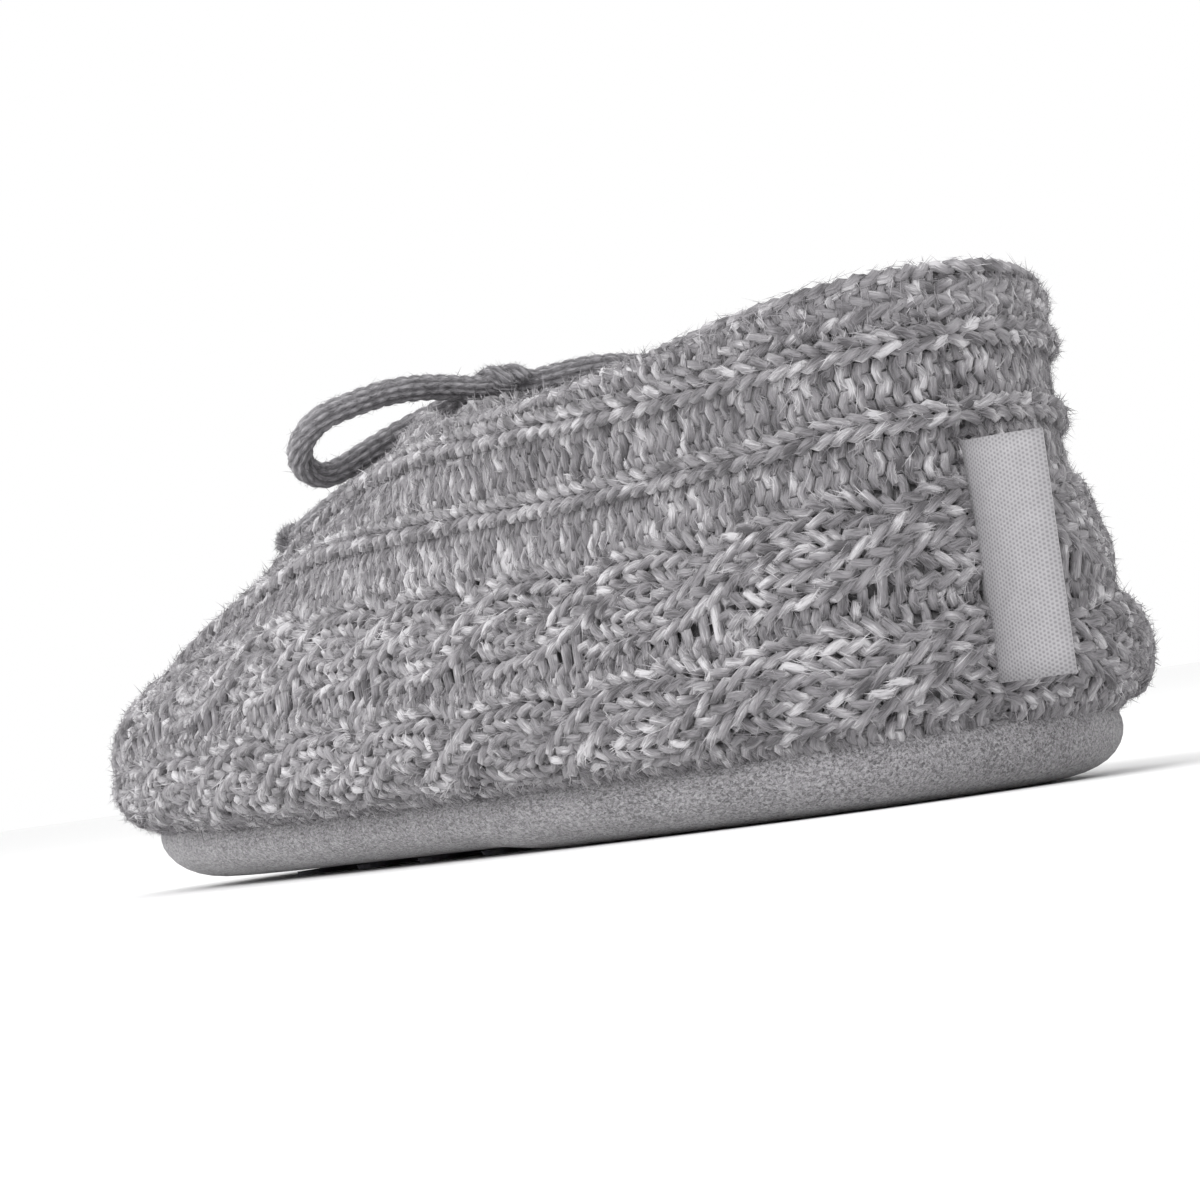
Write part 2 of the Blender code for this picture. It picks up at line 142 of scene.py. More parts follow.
# Level rings of the last from the sole seam to the collar, in percent of the length, half the width and the
# height above. square is the power of the plan oval: 2 is an ellipse, more is fuller at its corners.
Ring = namedtuple("Ring", "heel toe heel_half ball_half heel_z side_z toe_z square")
RINGS = (
    Ring(1.4, 96.8, 79.0, 87.0, 12.5, 11.8, 17.0, 2.80),
    Ring(0.4, 99.2, 92.5, 98.0, 18.8, 17.4, 23.5, 2.70),
    Ring(0.0, 100.0, 95.5, 100.0, 29.0, 27.0, 33.0, 2.60),
    Ring(0.2, 97.5, 87.0, 92.5, 44.5, 41.5, 45.0, 2.48),
    Ring(0.6, 89.0, 81.5, 83.0, 60.0, 55.5, 56.0, 2.32),
    Ring(0.9, 77.5, 79.0, 76.0, 76.0, 69.5, 69.0, 2.18),
    Ring(1.2, 64.5, 77.5, 72.5, 90.0, 81.0, 83.5, 2.10),
    Ring(1.4, 54.0, 76.5, 71.5, 100.0, 89.0, 95.0, 2.10),
)
RING_SCALE = np.array([LENGTH, LENGTH, BALL_WIDTH / 2, BALL_WIDTH / 2, *[HEEL_HEIGHT] * 3, 100.0]) / 100
RING_ROWS = np.array(RINGS) * RING_SCALE
FINE_STEPS = 721
TURN_STEP = 0.004
ON_MIDDLE = np.array([0, 1, 1])
SAME_PLACE = 0.02

# The sole's loops from its seam round to its middle line: inset from the seam line, height in percent of the
# way from the tread to the seam, and how far the puckers reach into it
SoleLoop = namedtuple("SoleLoop", "inset height pucker")
SOLE_LOOPS = (
    SoleLoop(3.6, 100.0, 0.0),
    SoleLoop(1.6, 119.0, 0.3),
    SoleLoop(-0.1, 112.0, 0.8),
    SoleLoop(-0.9, 92.0, 1.0),
    SoleLoop(-0.9, 64.0, 0.5),
    SoleLoop(0.6, 34.0, 0.2),
    SoleLoop(3.4, 14.0, 0.0),
    SoleLoop(7.4, 3.0, 0.0),
    SoleLoop(13.0, 0.0, 0.0),
)
SOLE_STEPS = 96
PUCKERS = 37
PUCKER_DEPTH = 0.28
PUCKER_DRIFT = 1.3
PUCKER_DRIFT_WAVES = 17.0
TREAD_STATIONS = (0.0, 80.0, 92.0, 202.0, 222.0, 240.0)
TREAD_HEIGHTS = (0.0, 0.0, SOLE_LIFT, SOLE_LIFT, 2.6, 6.0)
SUEDE_DARK = (0.09, 0.086, 0.092, 1)
SUEDE_LIGHT = (0.39, 0.38, 0.396, 1)
NAP_WAVES = 2700.0
NAP_BRUSH = 0.42
NAP_SHARE = 0.88
NAP_TONES = (0.37, 0.63)
NAP_DEPTH = 0.4
PATCH_WAVES = 130.0


def rings_at(levels):
    """Ring rows at levels from 0, the sole seam, to 1, the collar, on a smooth curve through RINGS."""
    last = len(RING_ROWS) - 1
    place = np.clip(levels, 0.0, 1.0) * last
    row = np.minimum(place.astype(int), last - 1)
    t = (place - row)[..., None]
    b = RING_ROWS[row]
    c = RING_ROWS[row + 1]
    a = np.where((row > 0)[..., None], RING_ROWS[np.maximum(row - 1, 0)], 2 * b - c)
    d = np.where((row < last - 1)[..., None], RING_ROWS[np.minimum(row + 2, last)], 2 * c - b)
    return b + t / 2 * (c - a + t * (2 * a - 5 * b + 4 * c - d + t * (3 * (b - c) + d - a)))


def surface(turns, levels):
    """Points of the last. A turn is 0 at the heel, pi at the toe, and negative on the right."""
    heel, toe, heel_half, ball_half, heel_z, side_z, toe_z, square = np.moveaxis(rings_at(levels), -1, 0)
    cosine = np.cos(turns)
    sine = np.sin(turns)
    along = -np.sign(cosine) * np.abs(cosine) ** (2 / square)
    station = (heel + toe) / 2 + (toe - heel) / 2 * along
    half = heel_half + (ball_half - heel_half) * (1 + along) / 2
    x = half * np.sign(sine) * np.abs(sine) ** (2 / square)
    toward_heel = np.clip(cosine, 0, 1) ** 2
    toward_toe = np.clip(-cosine, 0, 1) ** 2
    z = side_z + (heel_z - side_z) * toward_heel + (toe_z - side_z) * toward_toe
    return np.stack([x, ORIGIN_STATION - station, z], axis=-1)


def run_along(points):
    """Distance of each point of a line, or of each line of an array of them, from its first."""
    steps = np.linalg.norm(np.diff(points, axis=-2), axis=-1)
    return np.concatenate([np.zeros_like(steps[..., :1]), np.cumsum(steps, axis=-1)], axis=-1)


def seam_turns(shares):
    """Turns at shares of the left half of the sole seam, measured along it from heel to toe."""
    fine = np.linspace(0, math.pi, FINE_STEPS)
    run = run_along(surface(fine, 0 * fine))
    return np.interp(shares, run / run[-1], fine)


def seam_loop(shares, inset):
    """The left half of the sole seam from heel to toe, moved in by inset on plan."""
    turns = seam_turns(shares)
    level = np.zeros_like(turns)
    way = surface(turns + TURN_STEP, level) - surface(turns - TURN_STEP, level)
    inward = np.stack([way[:, 1], -way[:, 0], 0 * turns], axis=-1)
    inward /= np.linalg.norm(inward, axis=-1, keepdims=True)
    moved = surface(turns, level) + inset * inward
    moved[[0, -1], 0] = 0
    return moved


def tread_height(points):
    """Height of the tread under each point."""
    return np.interp(ORIGIN_STATION - points[:, 1], TREAD_STATIONS, TREAD_HEIGHTS)


def lay_grid(bm, points):
    """Lays a grid of faces through an array of points in millimetres, rows by columns."""
    rows, columns = points.shape[:2]
    grid = bmesh.ops.create_grid(bm, x_segments=columns - 1, y_segments=rows - 1, size=1)
    for vert, point in zip(grid["verts"], points.reshape(-1, 3) * MM):
        vert.co = point
    return grid["verts"]


def close_halves(bm):
    """Mirrors the left half to the right and joins both along the middle, with the faces outward."""
    bmesh.ops.remove_doubles(bm, verts=bm.verts, dist=SAME_PLACE * MM)
    bmesh.ops.mirror(bm, geom=bm.verts[:] + bm.edges[:] + bm.faces[:], axis="X", merge_dist=SAME_PLACE * MM)
    bmesh.ops.remove_doubles(bm, verts=bm.verts, dist=SAME_PLACE * MM)
    bmesh.ops.recalc_face_normals(bm, faces=bm.faces)


def place_piece(name, bm, *materials):
    """Makes a bmesh into a smooth piece that rides on the slipper."""
    mesh = bpy.data.meshes.new(name)
    bm.to_mesh(mesh)
    bm.free()
    mesh.shade_smooth()
    for material in materials:
        mesh.materials.append(material)
    piece = bpy.data.objects.new(name, mesh)
    bpy.context.scene.collection.objects.link(piece)
    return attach(piece, "root")


def subdivide(piece, levels):
    """Rounds a piece with a subdivision surface."""
    modifier = piece.modifiers.new("round", "SUBSURF")
    modifier.levels = levels
    modifier.render_levels = levels


def add_node(tree, kind, inputs=None, **settings):
    """Adds a shader node. Inputs are values, or sockets to link from, by socket name or number."""
    made = tree.nodes.new("ShaderNode" + kind)
    for name, value in settings.items():
        setattr(made, name, value)
    for socket, value in (inputs or {}).items():
        if isinstance(value, bpy.types.NodeSocket):
            tree.links.new(value, made.inputs[socket])
        else:
            made.inputs[socket].default_value = value
    return made


def noise(tree, vector, scale, detail=2.0, roughness=0.5, distortion=0.0):
    """Noise at a scale in waves per unit of its vector."""
    inputs = {"Vector": vector, "Scale": scale, "Detail": detail, "Roughness": roughness,
              "Distortion": distortion}
    return add_node(tree, "TexNoise", inputs).outputs["Fac"]


def math_node(tree, operation, one, other=0.0):
    """One sum of two values or sockets."""
    return add_node(tree, "Math", {0: one, 1: other}, operation=operation).outputs[0]


def stretch(tree, value, limits):
    """Stretches a value so that its lower limit becomes 0 and its upper limit 1."""
    inputs = {"Value": value, "From Min": limits[0], "From Max": limits[1]}
    return add_node(tree, "MapRange", inputs).outputs[0]


def colour_mix(tree, share, one, other):
    """Two colours mixed by a share or a socket."""
    return add_node(tree, "Mix", {0: share, 6: one, 7: other}, data_type="RGBA").outputs[2]


def bump(tree, shader, height, depth):
    """Presses a height into the surface."""
    made = add_node(tree, "Bump", {"Height": height, "Distance": depth * MM, "Strength": 1.0})
    tree.links.new(made.outputs["Normal"], shader.inputs["Normal"])


def suede_material():
    """Short grey nap, brushed along the foot, with rubbed patches."""
    material, tree, shader = start_material("suede", 0.92)
    place = add_node(tree, "TexCoord").outputs["Object"]
    brushed = add_node(tree, "Mapping", {"Vector": place, "Scale": (1.0, NAP_BRUSH, 1.0)}).outputs[0]
    nap = noise(tree, brushed, NAP_WAVES, 2.0, 0.7, 0.8)
    patches = noise(tree, place, PATCH_WAVES, 3.0, 0.6)
    mixed = math_node(tree, "ADD", math_node(tree, "MULTIPLY", nap, NAP_SHARE),
                      math_node(tree, "MULTIPLY", patches, 1 - NAP_SHARE))
    tone = stretch(tree, mixed, NAP_TONES)
    tree.links.new(colour_mix(tree, tone, SUEDE_DARK, SUEDE_LIGHT), shader.inputs["Base Color"])
    shader.inputs["Sheen Weight"].default_value = 0.25
    shader.inputs["Sheen Roughness"].default_value = 0.5
    bump(tree, shader, nap, NAP_DEPTH)
    return material


seam_shares = np.linspace(0, 1, SOLE_STEPS + 1)
pucker_drift = PUCKER_DRIFT * np.sin(PUCKER_DRIFT_WAVES * seam_shares)
puckers = PUCKER_DEPTH * np.sin(2 * math.pi * PUCKERS * seam_shares + pucker_drift)
sole_rows = []
for form in SOLE_LOOPS:
    loop = seam_loop(seam_shares, form.inset)
    loop += (loop - seam_loop(seam_shares, form.inset + 1)) * (form.pucker * puckers)[:, None]
    tread = tread_height(loop)
    loop[:, 2] = tread + (loop[:, 2] - GAP - tread) * form.height / 100
    sole_rows.append(loop)
seam_middle = sole_rows[0] * ON_MIDDLE
tread_middle = sole_rows[-1] * ON_MIDDLE
sole_rows = [seam_middle, (sole_rows[0] + seam_middle) / 2, *sole_rows,
             (sole_rows[-1] + tread_middle) / 2, tread_middle]
for row in sole_rows:
    row[[0, -1], 0] = 0
bm = bmesh.new()
lay_grid(bm, np.array(sole_rows))
close_halves(bm)
sole = place_piece("suede_sole", bm, suede_material())
subdivide(sole, 1)
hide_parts("sole")


# Grip print
# Low bars and dots of clear grey silicone, printed on the suede under the ball of the foot. Their solids are
# already right, so they stay and get the silicone's half gloss and its fine orange-peel skin.

SILICONE_COLOUR = (0.2, 0.2, 0.235, 1)
SILICONE_THIN = (0.26, 0.255, 0.285, 1)
THICKNESS_WAVES = 260.0
SKIN_WAVES = 1400.0
SKIN_DEPTH = 0.08


def silicone_material():
    """Clear printed silicone over grey suede."""
    material, tree, shader = start_material("silicone_print", 0.38)
    place = add_node(tree, "TexCoord").outputs["Object"]
    thick = noise(tree, place, THICKNESS_WAVES)
    tree.links.new(colour_mix(tree, thick, SILICONE_COLOUR, SILICONE_THIN), shader.inputs["Base Color"])
    bump(tree, shader, noise(tree, place, SKIN_WAVES), SKIN_DEPTH)
    return material


silicone = silicone_material()
for name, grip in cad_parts.items():
    if name.startswith("grip_"):
        grip.data.materials.clear()
        grip.data.materials.append(silicone)


# Insole
# A soft fleece sock over thin foam, laid on the sole inside the wall. It is loose at its edge, so the edge
# rounds over, and the foot has pressed a shallow bed into it.

INSOLE_THICK = 2.5
INSOLE_INSET = 4.6
INSOLE_CLEAR = 0.1
BED_DEPTH = 0.7
FLEECE_DARK = (0.24, 0.237, 0.24, 1)
FLEECE_LIGHT = (0.44, 0.435, 0.44, 1)
TUFT_WAVES = 420.0
TUFT_TONES = (0.32, 0.7)
TUFT_DEPTH = 1.6

# The insole's loops from its underside over its edge: inset from the edge, and height as a share of the
# thickness
InsoleLoop = namedtuple("InsoleLoop", "inset height")
INSOLE_LOOPS = (
    InsoleLoop(0.0, 0.0),
    InsoleLoop(0.0, 0.7),
    InsoleLoop(1.2, 1.0),
    InsoleLoop(9.0, 0.96),
)


def fleece_material():
    """Short looped pile, in small tufts."""
    material, tree, shader = start_material("fleece", 0.96)
    place = add_node(tree, "TexCoord").outputs["Object"]
    tufts = noise(tree, place, TUFT_WAVES, 4.0, 0.62)
    tone = stretch(tree, tufts, TUFT_TONES)
    tree.links.new(colour_mix(tree, tone, FLEECE_DARK, FLEECE_LIGHT), shader.inputs["Base Color"])
    shader.inputs["Sheen Weight"].default_value = 0.3
    bump(tree, shader, tufts, TUFT_DEPTH)
    return material


fleece = fleece_material()
insole_rows = []
for form in INSOLE_LOOPS:
    loop = seam_loop(seam_shares, INSOLE_INSET + form.inset)
    loop[:, 2] += INSOLE_CLEAR + (INSOLE_THICK - INSOLE_CLEAR) * form.height
    insole_rows.append(loop)
underside = insole_rows[0] * ON_MIDDLE
bed_middle = insole_rows[-1] * ON_MIDDLE - np.array([0, 0, BED_DEPTH])
bed = (insole_rows[-1] + bed_middle) / 2
insole_rows = [underside, *insole_rows, bed, bed_middle]
for row in insole_rows:
    row[[0, -1], 0] = 0
bm = bmesh.new()
lay_grid(bm, np.array(insole_rows))
close_halves(bm)
insole = place_piece("fleece_insole", bm, fleece)
subdivide(insole, 1)
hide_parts("insole")


# Wall of the upper
# The body of the knitted cloth behind its outer stitches, with a fleece lining on its inner face. It is sewn
# to the sole all round and ends in a soft rolled collar.

WALL = 3.0
SPINE_HEEL = 42.0
SPINE_TOE = 224.0
SPINE_START = 0.10
CROWN_LEVEL = 0.3
NET_LINES = 291
NET_POINTS = 97
HALVINGS = 40

# Bands of the knit from the sole seam up to the vamp's middle line, which halves the last one
Band = namedtuple("Band", "stitch columns rise")
BANDS = (
    Band("purl", 1, 0.0),
    Band("cable", 4, 1.6),
    Band("purl", 1, 0.0),
    Band("cable", 4, 1.6),
    Band("purl", 2, 0.0),
    Band("knit", 1, 1.1),
    Band("purl", 2, 0.0),
    Band("knit", 1, 1.1),
    Band("purl", 2, 0.0),
    Band("knit", 1, 1.1),
    Band("purl", 2, 0.0),
    Band("knit", 6, 1.6),
)
MIDDLE_COLUMN = 24
HEEL_COLUMN_WIDTH = 3.6
TOE_CUT_COLUMNS = 8.0
TOE_CUT_SHARE = 0.72
SEAM_WIDTH = 6.0
SEAM_DEPTH = 1.6
SEAM_SHARE = 0.05
SLOPE_REACH = 0.02
WALL_FACE = -2.1
WALL_FOLLOW = 0.7
RIM_RISE = 0.5
RIM_RADIUS = 1.4
WALL_LINES = 116
WALL_COLUMNS = 49
# The ground's colours are painted shade: the back of the stitches is darker than the yarn, standing for the
# shade between the yarns.
GROUND_SHADE_DARK = (0.075, 0.072, 0.075, 1)
GROUND_SHADE_LIGHT = (0.17, 0.167, 0.172, 1)
GROUND_WAVES = 700.0
GROUND_DEPTH = 0.8


def outward(turns, levels):
    """Unit normals of the last."""
    above = np.minimum(levels + TURN_STEP, 1)
    below = np.maximum(levels - TURN_STEP, 0)
    round_way = surface(turns + TURN_STEP, levels) - surface(turns - TURN_STEP, levels)
    up_way = surface(turns, above) - surface(turns, below)
    normal = np.cross(up_way, round_way)
    return normal / np.linalg.norm(normal, axis=-1, keepdims=True)


def spine_station(shares):
    """Station on the middle plane that the knit's cross line at each share of the seam swings to."""
    reach = np.clip((shares - SPINE_START) / (1 - SPINE_START), 0, 1)
    return SPINE_HEEL + (SPINE_TOE - SPINE_HEEL) * reach


def cut_columns(shares):
    """How many stitch columns have run under the sole seam by each share of it."""
    reach = np.clip((shares - TOE_CUT_SHARE) / (1 - TOE_CUT_SHARE), 0, 1)
    return TOE_CUT_COLUMNS * reach ** 2


def make_net():
    """(turns, levels) of the knit's cross lines at even steps along them, and each line's length."""
    stations = spine_station(NET_SHARES)
    fine = np.linspace(CROWN_LEVEL, 1.0, FINE_STEPS)
    tops = np.interp(-stations, -rings_at(fine)[:, 1], fine)
    levels = tops[:, None] * np.linspace(0, 1, NET_POINTS)
    spine = np.stack([0 * stations, ORIGIN_STATION - stations], axis=-1)[:, None]
    way = surface(seam_turns(NET_SHARES), 0 * stations)[:, None, :2] - spine
    low = np.zeros_like(levels)
    high = np.full_like(levels, math.pi)
    for _ in range(HALVINGS):
        middle = (low + high) / 2
        arm = surface(middle, levels)[..., :2] - spine
        behind = way[..., 0] * arm[..., 1] - way[..., 1] * arm[..., 0] > 0
        low = np.where(behind, middle, low)
        high = np.where(behind, high, middle)
    turns = (low + high) / 2
    run = run_along(surface(turns, levels))
    even = np.linspace(0, 1, NET_POINTS)
    for line in range(NET_LINES):
        place = run[line] / run[line, -1]
        turns[line] = np.interp(even, place, turns[line])
        levels[line] = np.interp(even, place, levels[line])
    return turns, levels, run[:, -1]


NET_SHARES = np.linspace(0, 1, NET_LINES)
NET_TURNS, NET_LEVELS, NET_LENGTHS = make_net()
THROAT_SHARE = SPINE_START + (1 - SPINE_START) * (RING_ROWS[-1][1] - SPINE_HEEL) / (SPINE_TOE - SPINE_HEEL)
NET_CUTS = cut_columns(NET_SHARES)
THROAT_WIDTH = np.interp(THROAT_SHARE, NET_SHARES, NET_LENGTHS / (MIDDLE_COLUMN - NET_CUTS))
NET_EASE = (1 - np.cos(math.pi * np.clip(NET_SHARES / THROAT_SHARE, 0, 1))) / 2
NET_WIDTHS = np.where(NET_SHARES < THROAT_SHARE,
                      HEEL_COLUMN_WIDTH + (THROAT_WIDTH - HEEL_COLUMN_WIDTH) * NET_EASE,
                      NET_LENGTHS / (MIDDLE_COLUMN - NET_CUTS))
BAND_ENDS = np.cumsum([band.columns for band in BANDS])


def read_net(table, shares, parts):
    """A net table's value at shares of the seam and parts of the cross lines there."""
    line = np.clip(shares, 0, 1) * (NET_LINES - 1)
    point = np.clip(parts, 0, 1) * (NET_POINTS - 1)
    i = np.minimum(line.astype(int), NET_LINES - 2)
    j = np.minimum(point.astype(int), NET_POINTS - 2)
    s = line - i
    t = point - j
    first = table[i, j] * (1 - t) + table[i, j + 1] * t
    second = table[i + 1, j] * (1 - t) + table[i + 1, j + 1] * t
    return first * (1 - s) + second * s


def net_place(shares, parts):
    """(turns, levels) of the last at shares of the seam and parts of the cross lines there."""
    return read_net(NET_TURNS, shares, parts), read_net(NET_LEVELS, shares, parts)


def top_column(shares):
    """Column at the top of each cross line: the collar behind the throat, the middle line before it."""
    length = np.interp(shares, NET_SHARES, NET_LENGTHS)
    width = np.interp(shares, NET_SHARES, NET_WIDTHS)
    return np.interp(shares, NET_SHARES, NET_CUTS) + length / width


def knit_place(shares, columns, lifts):
    """Points and normals of the knit, lifted out of the last. Past the collar they roll over the rim."""
    length = np.interp(shares, NET_SHARES, NET_LENGTHS)
    width = np.interp(shares, NET_SHARES, NET_WIDTHS)
    run = (columns - np.interp(shares, NET_SHARES, NET_CUTS)) * width
    part = run / length
    turns, levels = net_place(shares, part)
    points = surface(turns, levels)
    normals = outward(turns, levels)
    near = np.clip(part, SLOPE_REACH, 1 - SLOPE_REACH)
    upper = surface(*net_place(shares, near + SLOPE_REACH))
    lower = surface(*net_place(shares, near - SLOPE_REACH))
    upward = upper - lower
    upward /= np.linalg.norm(upward, axis=-1, keepdims=True)
    over = np.clip(run - length, 0, None)
    angle = np.clip(over / RIM_RADIUS, 0, math.pi)[..., None]
    past = (over - math.pi * RIM_RADIUS).clip(0)[..., None] + np.clip(-run, 0, None)[..., None]
    rolled = normals * np.cos(angle) + upward * np.sin(angle)
    points = points + (rolled - normals) * RIM_RADIUS - upward * past
    points = points + rolled * lifts[..., None]
    from_seam = np.abs(points[..., 0])
    groove = SEAM_DEPTH * np.clip(1 - from_seam / SEAM_WIDTH, 0, 1) ** 2
    points[..., 1] -= np.where(shares < SEAM_SHARE, groove, 0)
    return points, rolled


def band_rise(columns):
    """How far the solid's bands stand out of the last at each column."""
    rise = np.zeros_like(columns)
    for band, end in zip(BANDS, BAND_ENDS):
        across = 2 * (columns - end + band.columns) / band.columns - 1
        rise += band.rise * np.sqrt(np.clip(1 - across ** 2, 0, 1))
    return rise


def shaded_ground_material():
    """The back of the stitches, seen between the yarns, coloured darker than the yarn as painted shade."""
    material, tree, shader = start_material("knit_ground_shaded", 0.97)
    place = add_node(tree, "TexCoord").outputs["Object"]
    tone = noise(tree, place, GROUND_WAVES, 3.0, 0.6)
    tree.links.new(colour_mix(tree, tone, GROUND_SHADE_DARK, GROUND_SHADE_LIGHT), shader.inputs["Base Color"])
    bump(tree, shader, tone, GROUND_DEPTH)
    return material


wall_shares = np.linspace(0, 1, WALL_LINES)
wall_parts = np.linspace(0, 1, WALL_COLUMNS)
wall_tops = top_column(wall_shares)
wall_cuts = np.interp(wall_shares, NET_SHARES, NET_CUTS)
wall_columns = wall_cuts[:, None] + (wall_tops - wall_cuts)[:, None] * wall_parts
wall_grid = np.broadcast_to(wall_shares[:, None], wall_columns.shape)
outer, _ = knit_place(wall_grid, wall_columns, WALL_FACE + WALL_FOLLOW * band_rise(wall_columns))
inner, _ = knit_place(wall_grid, wall_columns, np.full_like(wall_columns, -WALL))
for points in (outer, inner):
    points[[0, -1], :, 0] = 0
    points[wall_shares >= THROAT_SHARE, -1, 0] = 0
open_lines = int(np.sum(wall_shares < THROAT_SHARE)) + 1
rim = (outer[:, -1] + inner[:, -1]) / 2
rim[:, 2] += RIM_RISE
rim[[0, open_lines - 1], 0] = 0
bm = bmesh.new()
lay_grid(bm, outer)
lay_grid(bm, np.stack([outer[:, 0], inner[:, 0]], axis=1))
lay_grid(bm, np.stack([outer[:open_lines, -1], rim[:open_lines], inner[:open_lines, -1]], axis=1))
# Faces laid so far carry the knit's back, painted dark as shade; the inner face laid next is fleece.
shaded_ground_faces = len(bm.faces)
lay_grid(bm, inner)
bm.faces.ensure_lookup_table()
for face in bm.faces[shaded_ground_faces:]:
    face.material_index = 1
close_halves(bm)
wall = place_piece("knit_wall", bm, shaded_ground_material(), fleece)
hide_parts("upper")


# Knitted yarn
# The outer stitches, in soft brushed yarn of mixed grey, pale and dark fibres. Each course is one yarn that
# loops up from the sole seam, over the vamp or over the collar. The columns follow the bands, and along the
# toe's seam the purl stitches draw wide bars.

COURSES = 104
SIDE_COURSE = 30
TOE_COURSE = 62
STITCH_POINTS = 12
YARN_RADIUS = 0.83
YARN_SIDES = 5
LOOP_SWING = 0.27
LOOP_HEIGHT = 1.58
LOOP_DEPTH = 0.55
YARN_SINK = 0.95
PURL_SINK = 0.6
SIGN_BLEND = 0.16
RIM_COLUMNS = 2.6
SEAM_TUCK = 0.5
CABLE_REPEAT = 10.0
CABLE_EASE = 0.05
CABLE_LIFT = 0.5
CABLE_CROWN = 1.0
CABLE_HALF = 2.3
CABLE_PULL = 0.97
CABLE_SPREAD_OVER = 0.3
CABLE_SPREAD_UNDER = 0.9
TOE_PURL_SHARE = 0.74
TOE_PURL_COLUMNS = 2
STITCH_UNEVEN = 0.05
LIFT_UNEVEN = 0.14
BAR_SHARES = (0.775, 0.975)
BARS = 42
BAR_COLUMNS = (-0.1, 1.65)
BAR_POINTS = 9
BAR_LIFTS = (-0.9, 0.3)
BAR_ROUND = 0.7
BAR_SHIFT_UNEVEN = 0.06
BAR_SLANT_UNEVEN = 0.1
BAR_LIFT_UNEVEN = 0.08
YARN_SEED = 7
YARN_STARTS = 900.0
SIDE_START = 400.0
NO_LENGTH = 1e-9
YARN_DARK = (0.115, 0.11, 0.117, 1)
YARN_GREY = (0.272, 0.262, 0.276, 1)
YARN_SOFT = (0.35, 0.338, 0.354, 1)
YARN_PALE = (0.62, 0.607, 0.625, 1)
YARN_STOPS = ((0.2, YARN_DARK), (0.45, YARN_GREY), (0.64, YARN_SOFT), (0.8, YARN_PALE))
YARN_TONES = (0.44, 1.05)
FIBRE_STRETCH = (0.55, 3.2, 3.2)
FLECK_STRETCH = (0.24, 0.3, 0.3)
FIBRE_SHARE = 0.5
FIBRE_DEPTH = 0.45
random = np.random.default_rng(YARN_SEED)


def column_stitches():
    """For each column: its sign, 1 for knit and -1 for purl, and its place in a cable, or -1."""
    signs = []
    places = []
    for band in BANDS:
        for number in range(band.columns):
            signs.append(-1.0 if band.stitch == "purl" else 1.0)
            places.append(number if band.stitch == "cable" else -1)
    return np.array(signs), np.array(places)


COLUMN_SIGNS, CABLE_PLACES = column_stitches()


def cross_cable(number, along, cable_place, phase):
    """How far a cable's stitches lie from its middle column, and stand over it or under it."""
    repeat = (number + 0.5) / CABLE_REPEAT
    turn = np.clip((repeat % 1 + along / CABLE_REPEAT - CABLE_EASE) / (1 - 2 * CABLE_EASE), 0, 1)
    angle = math.pi * turn
    strand = np.where(cable_place < 2, -1.0, 1.0) * (1 if repeat % 1 < 0.5 else -1)
    over = strand * np.sin(angle)
    swing = LOOP_SWING * np.sin(4 * math.pi * phase)
    wale = np.where(cable_place % 2 == 0, -0.5, 0.5) + (phase - 0.5) + swing
    spread = 1 + np.sin(angle) * np.where(over > 0, CABLE_SPREAD_OVER, CABLE_SPREAD_UNDER)
    return strand * np.cos(angle) + wale * CABLE_PULL * spread, over


def make_course(number):
    """Points and normals of one course's yarn on the left, from the sole seam to its top."""
    share = (number + 0.5) / COURSES
    low = float(np.interp(share, NET_SHARES, NET_CUTS))
    high = MIDDLE_COLUMN
    if share < THROAT_SHARE:
        high = float(top_column(np.array([share]))[0]) + RIM_COLUMNS
    first = math.floor(low)
    t = np.arange(0, (high - first) * STITCH_POINTS + 0.5) / STITCH_POINTS
    t = t[t + first > low - SEAM_TUCK]
    column = np.minimum((t + first).astype(int), len(COLUMN_SIGNS) - 1)
    phase = t + first - column
    signs = COLUMN_SIGNS.copy()
    cable_places = CABLE_PLACES.copy()
    if share > TOE_PURL_SHARE:
        signs[first:first + TOE_PURL_COLUMNS] = -1.0
        cable_places[first:first + TOE_PURL_COLUMNS] = -1
    next_column = np.where(phase < 0.5, column - 1, column + 1).clip(0, len(signs) - 1)
    blend = np.clip(np.minimum(phase, 1 - phase) / SIGN_BLEND, 0, 1)
    sign = signs[column] * (1 + blend) / 2 + signs[next_column] * (1 - blend) / 2

    across = t + first + LOOP_SWING * np.sin(4 * math.pi * phase)
    along = -LOOP_HEIGHT / 2 * np.cos(2 * math.pi * phase)
    depth = -LOOP_DEPTH * np.cos(4 * math.pi * phase) * sign
    lift = band_rise(across) - PURL_SINK * (1 - sign) / 2 * np.clip(column, 0, 1)
    stitches = np.arange(first, first + math.ceil(t[-1]) + 2)
    along = along + np.interp(t + first, stitches, random.normal(0, STITCH_UNEVEN, len(stitches)))
    depth = depth + np.interp(t + first, stitches, random.normal(0, LIFT_UNEVEN, len(stitches)))

    cable_place = cable_places[column]
    in_cable = cable_place >= 0
    from_middle, over = cross_cable(number, along, cable_place, phase)
    crown = CABLE_CROWN * np.sqrt(np.clip(1 - (from_middle / CABLE_HALF) ** 2, 0, 1))
    across = np.where(in_cable, column - cable_place + 2 + from_middle, across)
    lift = np.where(in_cable, crown + CABLE_LIFT * over, lift)

    return knit_place(share + along / COURSES, across, lift + depth - YARN_SINK)


